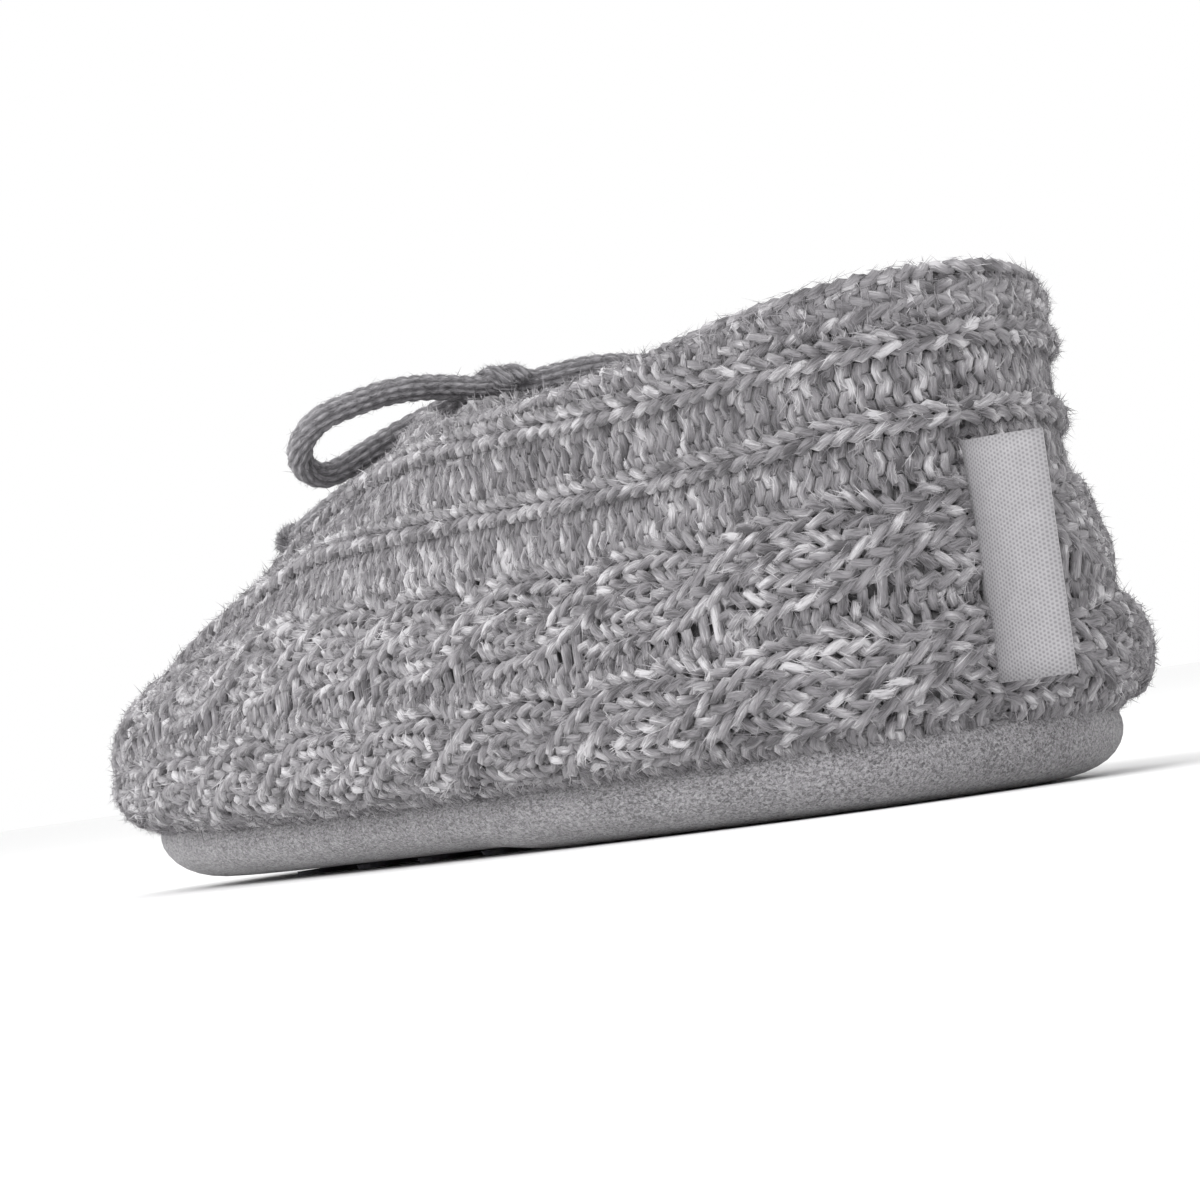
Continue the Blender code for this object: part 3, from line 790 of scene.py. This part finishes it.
def make_bar(share):
    """Points and normals of one of the wide bars that the purl stitches draw along the toe's seam."""
    part = np.linspace(0, 1, BAR_POINTS)
    low = np.interp(share, NET_SHARES, NET_CUTS) + BAR_COLUMNS[0]
    columns = low + (BAR_COLUMNS[1] - BAR_COLUMNS[0]) * part + random.normal(0, BAR_SHIFT_UNEVEN)
    lifts = BAR_LIFTS[0] + (BAR_LIFTS[1] - BAR_LIFTS[0]) * np.sin(math.pi * part) ** BAR_ROUND
    slant = random.normal(0, BAR_SLANT_UNEVEN) / COURSES
    return knit_place(share + slant * (part - 0.5), columns, lifts + random.normal(0, BAR_LIFT_UNEVEN))


def ways_along(line, ups):
    """Unit ways along a line, to its side and out of it, from a rough way up at each point."""
    tangent = np.gradient(line, axis=0)
    tangent /= np.linalg.norm(tangent, axis=1, keepdims=True) + NO_LENGTH
    aside = np.cross(tangent, ups)
    aside /= np.linalg.norm(aside, axis=1, keepdims=True) + NO_LENGTH
    return tangent, aside, np.cross(aside, tangent)


def ring_round(aside, above, turns):
    """Unit ways out of each point of a line at turns round it."""
    return aside[:, None] * np.cos(turns)[:, None] + above[:, None] * np.sin(turns)[:, None]


def marl_at(run, turns):
    """Distance along the yarn, and cosine and sine of the turn round it, for rings along a yarn."""
    along, turn = np.meshgrid(run, turns, indexing="ij")
    return np.stack([along, np.cos(turn), np.sin(turn)], axis=-1)


def store_marl(mesh, marl):
    """Keeps each point's place on its yarn for the material."""
    attribute = mesh.attributes.new("yarn", "FLOAT_VECTOR", "POINT")
    attribute.data.foreach_set("vector", marl.astype(np.float32).ravel())


def add_tubes(name, lines, ups, starts):
    """One mesh of round yarns along lines of points in millimetres, closed at both ends."""
    verts = []
    faces = []
    marls = []
    first = 0
    sides = YARN_SIDES
    turns = 2 * math.pi * np.arange(sides) / sides
    for line, up, start in zip(lines, ups, starts):
        _, aside, above = ways_along(line, up)
        verts.append((line[:, None] + ring_round(aside, above, turns) * YARN_RADIUS).reshape(-1, 3))
        marls.append(marl_at(run_along(line) + start, turns).reshape(-1, 3))
        corner = first + np.arange((len(line) - 1) * sides).reshape(-1, sides)
        beside = np.roll(corner, -1, axis=1)
        quads = np.stack([corner, beside, beside + sides, corner + sides], axis=-1)
        faces.extend(quads.reshape(-1, 4).tolist())
        faces.append(list(range(first + sides - 1, first - 1, -1)))
        last = first + (len(line) - 1) * sides
        faces.append(list(range(last, last + sides)))
        first = last + sides
    mesh = bpy.data.meshes.new(name)
    mesh.from_pydata(np.concatenate(verts) * MM, [], faces)
    store_marl(mesh, np.concatenate(marls))
    mesh.shade_smooth()
    return mesh


def ramp_colours(tree, value, stops):
    """A colour ramp through stops of (place, colour)."""
    made = add_node(tree, "ValToRGB", {"Fac": value})
    elements = made.color_ramp.elements
    while len(elements) < len(stops):
        elements.new(0.5)
    for element, (place, colour) in zip(elements, stops):
        element.position = place
        element.color = colour
    return made.outputs["Color"]


def yarn_material():
    """Mixed grey yarn: long pale and dark flecks, with fine fibres along it."""
    material, tree, shader = start_material("marl_yarn", 0.95)
    marl = add_node(tree, "Attribute", attribute_name="yarn").outputs["Vector"]
    fine = add_node(tree, "Mapping", {"Vector": marl, "Scale": FIBRE_STRETCH}).outputs[0]
    slow = add_node(tree, "Mapping", {"Vector": marl, "Scale": FLECK_STRETCH}).outputs[0]
    fibres = noise(tree, fine, 1.0, 3.0, 0.6)
    flecks = noise(tree, slow, 1.0, 1.0)
    mixed = math_node(tree, "ADD", math_node(tree, "MULTIPLY", fibres, FIBRE_SHARE), flecks)
    tone = stretch(tree, mixed, YARN_TONES)
    tree.links.new(ramp_colours(tree, tone, YARN_STOPS), shader.inputs["Base Color"])
    shader.inputs["Specular IOR Level"].default_value = 0.15
    shader.inputs["Sheen Weight"].default_value = 0.25
    bump(tree, shader, fibres, FIBRE_DEPTH)
    return material


def place_yarn(mesh, material):
    """Makes a mesh of yarns or fibres into a piece that rides on the slipper."""
    mesh.materials.append(material)
    piece = bpy.data.objects.new(mesh.name, mesh)
    bpy.context.scene.collection.objects.link(piece)
    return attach(piece, "root")


courses = [make_course(number) for number in range(COURSES)]
courses += [make_bar(share) for share in np.linspace(*BAR_SHARES, BARS)]
marl_yarn = yarn_material()
yarn_starts = random.uniform(0, YARN_STARTS, len(courses))
yarn_pieces = {"heel": slice(0, SIDE_COURSE), "side": slice(SIDE_COURSE, TOE_COURSE),
               "toe": slice(TOE_COURSE, len(courses))}
for area, chosen in yarn_pieces.items():
    for side_name, side in (("left", 1), ("right", -1)):
        mirror = np.array([side, 1, 1])
        lines = [line * mirror for line, _ in courses[chosen]]
        ups = [up * mirror for _, up in courses[chosen]]
        mesh = add_tubes(f"knit_{area}_{side_name}", lines, ups, yarn_starts[chosen] + SIDE_START * side)
        place_yarn(mesh, marl_yarn)


# Loose fibres
# The yarn is brushed, so fine fibres lie loose all over the knit, mostly along the yarn. Each is a thin leaf
# bent at its middle, in the colour of the yarn there.

Fuzz = namedtuple("Fuzz", "count width lengths lifts rises stray turns")
KNIT_FUZZ = Fuzz(count=62000, width=0.12, lengths=(1.6, 5.2), lifts=(0.0, 0.3), rises=(-0.4, 0.5),
                 stray=0.25, turns=(0.1 * math.pi, 0.9 * math.pi))


def add_fibres(name, lines, ups, starts, radius, fuzz, side=1):
    """One mesh of loose fibres over yarns, mirrored to the right for side -1."""
    ways = [ways_along(line, up) for line, up in zip(lines, ups)]
    points = np.concatenate(lines)
    along = np.concatenate([run_along(line) + start for line, start in zip(lines, starts)])
    chosen = random.integers(0, len(points), fuzz.count)
    tangent, aside, above = (np.concatenate(way)[chosen] for way in zip(*ways))
    turn = random.uniform(*fuzz.turns, fuzz.count)
    out = aside * np.cos(turn)[:, None] + above * np.sin(turn)[:, None]
    middle = points[chosen] + out * (radius + random.uniform(*fuzz.lifts, (fuzz.count, 1)))
    way = tangent + random.normal(0, fuzz.stray, (fuzz.count, 3))
    way /= np.linalg.norm(way, axis=1, keepdims=True)
    across = np.cross(way, out)
    across *= fuzz.width / 2 / (np.linalg.norm(across, axis=1, keepdims=True) + NO_LENGTH)
    half = way * random.uniform(*fuzz.lengths, (fuzz.count, 1)) / 2
    near_tip = middle - half + out * random.uniform(*fuzz.rises, (fuzz.count, 1))
    far_tip = middle + half + out * random.uniform(*fuzz.rises, (fuzz.count, 1))
    corners = np.stack([near_tip, middle - across, middle + across, far_tip], axis=1) * np.array([side, 1, 1])
    leaf = np.array([[2, 1, 0], [1, 2, 3]])[:, ::side]
    faces = 4 * np.arange(fuzz.count)[:, None, None] + leaf
    mesh = bpy.data.meshes.new(name)
    mesh.from_pydata(corners.reshape(-1, 3) * MM, [], faces.reshape(-1, 3).tolist())
    marl = np.stack([along[chosen], np.cos(turn), np.sin(turn)], axis=-1)
    store_marl(mesh, np.repeat(marl, 4, axis=0))
    return mesh


for side_name, side in (("left", 1), ("right", -1)):
    mesh = add_fibres(f"fibres_{side_name}", [line for line, _ in courses], [up for _, up in courses],
                      yarn_starts + SIDE_START * side, YARN_RADIUS, KNIT_FUZZ, side)
    place_yarn(mesh, marl_yarn)


# Heel tab
# A bare woven ribbon folded in two, with both ends caught in the heel seam. It stands out of the seam and
# leans to the wearer's right.

TAB_LOW = 15.0
TAB_HIGH = 49.0
TAB_LENGTH = 12.0
TAB_PLY = 0.5
TAB_LEAN = math.radians(24)
TAB_MOUTH = 1.6
TAB_ROOT = 0.45
TAB_TUCK = 2.0
TAB_STEPS = 8
TAB_BEND_STEPS = 8
TAB_ROWS = 12
RIB_PITCH = 0.56
THREAD_PITCH = 0.64
RIBBON_DARK = (0.158, 0.153, 0.161, 1)
RIBBON_LIGHT = (0.435, 0.424, 0.443, 1)
RIBBON_BACK = (0.56, 0.55, 0.6, 1)
HOLLOW_SHARE = 0.25
RIB_SHARE = 0.3
WEAR_WAVES = 0.5
WEAR_SHARE = 0.3
RIBBON_TONES = (-0.56, 0.34)
WEAVE_DEPTH = 0.12


def ribbon_line():
    """The middle of the ribbon's ply from above: out one side, round the fold, and back along the other."""
    half = TAB_MOUTH / 2 + TAB_PLY / 2
    fold = TAB_LENGTH - TAB_MOUTH - TAB_PLY
    straight = np.linspace(-TAB_TUCK, fold, TAB_STEPS + 1)[:-1]
    line = [(out, half) for out in straight]
    for step in range(TAB_BEND_STEPS + 1):
        angle = math.pi / 2 - math.pi * step / TAB_BEND_STEPS
        line.append((fold + math.cos(angle) * half, math.sin(angle) * half))
    line.extend((out, -half) for out in straight[::-1])
    return np.array(line)


def ribbon_material(name, dark, light):
    """Fine ribs up the ribbon's height, with rows of small hollows between them, painted darker in the
    grooves and hollows as shade, with random wear in its tone.
    """
    material, tree, shader = start_material(name, 0.5)
    place = add_node(tree, "Attribute", attribute_name="weave").outputs["Vector"]
    run, height, _ = add_node(tree, "SeparateXYZ", {0: place}).outputs
    ribs = math_node(tree, "SINE", math_node(tree, "MULTIPLY", run, math.pi / RIB_PITCH))
    rows = math_node(tree, "SINE", math_node(tree, "MULTIPLY", height, 2 * math.pi / THREAD_PITCH))
    hollows = math_node(tree, "MULTIPLY", math_node(tree, "MULTIPLY", ribs, rows), HOLLOW_SHARE)
    between = math_node(tree, "MULTIPLY", math_node(tree, "ABSOLUTE", ribs), RIB_SHARE)
    weave = math_node(tree, "SUBTRACT", hollows, between)
    wear = math_node(tree, "MULTIPLY", noise(tree, place, WEAR_WAVES, 3.0), WEAR_SHARE)
    # The colour follows the weave's height: grooves and hollows are darker as painted shade, and the wear is
    # the ribbon's own uneven tone.
    tone = stretch(tree, math_node(tree, "ADD", weave, wear), RIBBON_TONES)
    tree.links.new(colour_mix(tree, tone, dark, light), shader.inputs["Base Color"])
    shader.inputs["Sheen Weight"].default_value = 0.15
    bump(tree, shader, weave, WEAVE_DEPTH)
    return material


ribbon_out, ribbon_across = ribbon_line().T
lean = TAB_LEAN * ribbon_out.clip(0) / TAB_LENGTH
ribbon_x = ribbon_across - ribbon_out * np.sin(lean)
ribbon_y = ORIGIN_STATION + TAB_ROOT + ribbon_out * np.cos(lean)
ribbon_run = run_along(np.stack([ribbon_x, ribbon_y], axis=-1))
heights = np.linspace(TAB_LOW, TAB_HIGH, TAB_ROWS)
ribbon_points = np.stack([
    np.stack([ribbon_x, ribbon_y, np.full_like(ribbon_x, height)], axis=-1) for height in heights
])
bm = bmesh.new()
lay_grid(bm, ribbon_points)
bmesh.ops.recalc_face_normals(bm, faces=bm.faces)
tab = place_piece("ribbon_tab", bm, ribbon_material("ribbon", RIBBON_DARK, RIBBON_LIGHT),
                  ribbon_material("ribbon_back", RIBBON_LIGHT, RIBBON_BACK))
weave = np.zeros_like(ribbon_points)
weave[..., 0] = ribbon_run
weave[..., 1] = ribbon_points[..., 2]
weave_layer = tab.data.attributes.new("weave", "FLOAT_VECTOR", "POINT")
weave_layer.data.foreach_set("vector", weave.astype(np.float32).ravel())
solidify = tab.modifiers.new("ply", "SOLIDIFY")
solidify.thickness = TAB_PLY * MM
solidify.offset = 0.0
solidify.material_offset = 1
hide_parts("heel_tab")


# Bow
# A dark knitted cord tied in a bow on the throat: two loops and two ends that come out of one knot. Each end
# is tied off in a small knot of its own.

CORD = 4.2
KNOT_STATION = 140.0
KNOT_LIFT = 2.2
KNOT_SIZE = (4.9, 4.3, 3.5)
BowPoint = namedtuple("BowPoint", "out station lift")
BOW_LOOP = (
    BowPoint(1.8, 139.6, 5.7),
    BowPoint(6.0, 139.2, 5.9),
    BowPoint(13.2, 138.2, 7.8),
    BowPoint(20.8, 137.9, 10.2),
    BowPoint(28.0, 138.8, 12.9),
    BowPoint(31.9, 139.9, 14.8),
    BowPoint(34.0, 142.4, 14.9),
    BowPoint(33.5, 145.4, 12.3),
    BowPoint(30.7, 147.7, 8.4),
    BowPoint(26.6, 148.5, 5.5),
    BowPoint(19.4, 148.2, 4.9),
    BowPoint(12.6, 146.1, 5.0),
    BowPoint(6.6, 143.2, 5.1),
    BowPoint(2.2, 141.4, 5.6),
)
BOW_END = (
    BowPoint(1.4, 142.0, 5.3),
    BowPoint(3.2, 146.2, 5.0),
    BowPoint(5.6, 152.0, 4.6),
    BowPoint(8.8, 158.5, 4.2),
    BowPoint(12.4, 165.0, 4.1),
    BowPoint(15.6, 172.0, 4.1),
    BowPoint(17.4, 179.0, 4.1),
    BowPoint(17.8, 184.5, 4.1),
)
CORD_POINTS = 26
CORD_STEP = 0.3
CORD_SIDES = 30
CORD_WALES = 5
CORD_STITCH = 2.3
CORD_RELIEF = 0.45
CORD_SLANT = 1.1
CORD_CLOSE = 0.3
CORD_SMOOTHING = 6
CORD_UP = (0.1, 0.2, 1.0)
CORD_JOIN = 0.001
KNOT_WAY = np.array([1.0, 0.0, 0.0])
KNOT_TURNS = 1.7
TIP_SIZE = (3.1, 3.1, 3.1)
TIP_TURNS = 1.4
WRAP_POINTS = 60
CORD_FUZZ = Fuzz(count=1500, width=0.1, lengths=(1.0, 3.4), lifts=(-0.25, 0.1), rises=(-0.25, 0.45),
                 stray=0.3, turns=(0, 2 * math.pi))
CORD_DARK = (0.075, 0.072, 0.078, 1)
CORD_LIGHT = (0.42, 0.408, 0.428, 1)
CORD_STRETCH = (0.7, 5.0, 5.0)
# How much the painted shade in the grooves between the stitches darkens the cord
STITCH_SHADE_SHARE = 0.3
CORD_TONES = (0.38, 0.96)
CORD_DEPTH = 0.4


def surface_height(x, station):
    """Height of the last over a plan point on the vamp."""
    levels = np.linspace(CROWN_LEVEL, 1.0, FINE_STEPS)
    heel, toe, heel_half, ball_half, _, _, _, square = rings_at(levels).T
    along = (station - (heel + toe) / 2) / ((toe - heel) / 2)
    half = heel_half + (ball_half - heel_half) * (1 + along) / 2
    top = np.flatnonzero(np.abs(along) ** square + np.abs(x / half) ** square <= 1)[-1]
    power = square[top] / 2
    turn = math.pi - math.atan2(abs(x / half[top]) ** power, max(along[top], 0) ** power)
    return float(surface(np.array([turn]), levels[top:top + 1])[0, 2])


def smooth_line(knots, steps):
    """A smooth line through the knots, at even steps between the first and the last."""
    padded = np.vstack([2 * knots[0] - knots[1], knots, 2 * knots[-1] - knots[-2]])
    line = []
    for place in np.linspace(0, len(knots) - 1, steps):
        i = min(int(place), len(knots) - 2)
        t = place - i
        a, b, c, d = padded[i:i + 4]
        line.append(b + t / 2 * (c - a + t * (2 * a - 5 * b + 4 * c - d + t * (3 * (b - c) + d - a))))
    return np.array(line)


def bow_route(route, side):
    """The cord's middle line on one side, as in its solid."""
    knots = np.array([
        (side * p.out, ORIGIN_STATION - p.station, surface_height(p.out, p.station) + p.lift) for p in route
    ])
    return smooth_line(knots, CORD_POINTS)


def add_cord(name, route, material):
    """A knitted cord along a route, its skin pressed into columns of small stitches, and the cord's fuzz."""
    run = run_along(route)
    even = np.linspace(0, run[-1], int(run[-1] / CORD_STEP) + 1)
    line = np.stack([np.interp(even, run, route[:, axis]) for axis in range(3)], axis=-1)
    for _ in range(CORD_SMOOTHING):
        line[1:-1] = (line[:-2] + 2 * line[1:-1] + line[2:]) / 4
    _, aside, above = ways_along(line, CORD_UP)
    turns = 2 * math.pi * np.arange(CORD_SIDES + 1) / CORD_SIDES
    wale = (np.arange(CORD_SIDES + 1) * CORD_WALES / CORD_SIDES)[None, :] % 1 - 0.5
    stitch = even[:, None] / CORD_STITCH + CORD_SLANT * np.abs(wale)
    leg_along = np.clip(1 - (2 * (stitch % 1) - 1) ** 2, 0, 1)
    leg_across = np.clip(1 - (4 * np.abs(wale) - 1) ** 2, 0, 1)
    leg = np.sqrt(leg_along * leg_across)
    radius = CORD / 2 - CORD_RELIEF * (1 - leg)
    radius[[0, -1]] *= CORD_CLOSE
    bm = bmesh.new()
    # The stitch layer keeps how far each point lies on a stitch's leg, for the painted shade in the grooves.
    stitch_shade_layer = bm.verts.layers.float.new("stitch")
    yarn_layer = bm.verts.layers.float_vector.new("yarn")
    verts = lay_grid(bm, line[:, None] + ring_round(aside, above, turns) * radius[..., None])
    for vert, marl, depth in zip(verts, marl_at(even, turns).reshape(-1, 3), leg.ravel()):
        vert[yarn_layer] = marl
        vert[stitch_shade_layer] = depth
    bmesh.ops.remove_doubles(bm, verts=bm.verts, dist=CORD_JOIN * MM)
    bmesh.ops.holes_fill(bm, edges=bm.edges, sides=CORD_SIDES + 2)
    bmesh.ops.recalc_face_normals(bm, faces=bm.faces)
    cord = place_piece(name, bm, material)
    fuzz_mesh = add_fibres(name.replace("cord", "fuzz"), [line], [above], [0.0], CORD / 2, CORD_FUZZ)
    return cord, place_yarn(fuzz_mesh, material)


def wrap_route(middle, axis, size, turns):
    """The cord's middle line wound round an axis in a knot whose half sizes are along, across and up."""
    across = np.cross((0, 0, 1), axis)
    across /= np.linalg.norm(across)
    above = np.cross(axis, across)
    wind = np.linspace(0, 2 * math.pi * turns, WRAP_POINTS)
    along = np.linspace(-1, 1, WRAP_POINTS) * (size[0] - CORD / 2)
    return (middle + along[:, None] * axis
            + (np.cos(wind) * (size[1] - CORD / 2))[:, None] * across
            + (np.sin(wind) * (size[2] - CORD / 2))[:, None] * above)


def cord_material():
    """Dark soft yarn with fine fibres, and painted shade in the grooves between the stitches."""
    material, tree, shader = start_material("cord_yarn", 0.95)
    marl = add_node(tree, "Attribute", attribute_name="yarn").outputs["Vector"]
    fine = add_node(tree, "Mapping", {"Vector": marl, "Scale": CORD_STRETCH}).outputs[0]
    fibres = noise(tree, fine, 1.0, 4.0, 0.65)
    # The stitch attribute is 1 on the stitches' legs and 0 in the grooves between them; it darkens the
    # grooves as painted shade.
    stitch = add_node(tree, "Attribute", attribute_name="stitch").outputs["Fac"]
    mixed = math_node(tree, "ADD", fibres, math_node(tree, "MULTIPLY", stitch, STITCH_SHADE_SHARE))
    tone = stretch(tree, mixed, CORD_TONES)
    tree.links.new(colour_mix(tree, tone, CORD_DARK, CORD_LIGHT), shader.inputs["Base Color"])
    shader.inputs["Sheen Weight"].default_value = 0.2
    bump(tree, shader, fibres, CORD_DEPTH)
    return material


cord_yarn = cord_material()
knot_middle = np.array([0, ORIGIN_STATION - KNOT_STATION,
                        surface_height(0.0, KNOT_STATION) + KNOT_SIZE[2] + KNOT_LIFT])
knot_route = wrap_route(knot_middle, KNOT_WAY, KNOT_SIZE, KNOT_TURNS)
wrap, wrap_fuzz = add_cord("cord_wrap", knot_route, cord_yarn)
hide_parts("bow_knot")

for side_name, side in (("left", 1), ("right", -1)):
    route = bow_route(BOW_LOOP, side)
    loop_cord, loop_fuzz = add_cord(f"cord_loop_{side_name}", route, cord_yarn)
    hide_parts(f"bow_loop_{side_name}")
    route = bow_route(BOW_END, side)
    end_cord, end_fuzz = add_cord(f"cord_end_{side_name}", route, cord_yarn)
    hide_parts(f"bow_end_{side_name}")
    way = (route[-1] - route[-2]) / np.linalg.norm(route[-1] - route[-2])
    tip_route = wrap_route(route[-1], way, TIP_SIZE, TIP_TURNS)
    tip, tip_fuzz = add_cord(f"cord_knot_{side_name}", tip_route, cord_yarn)
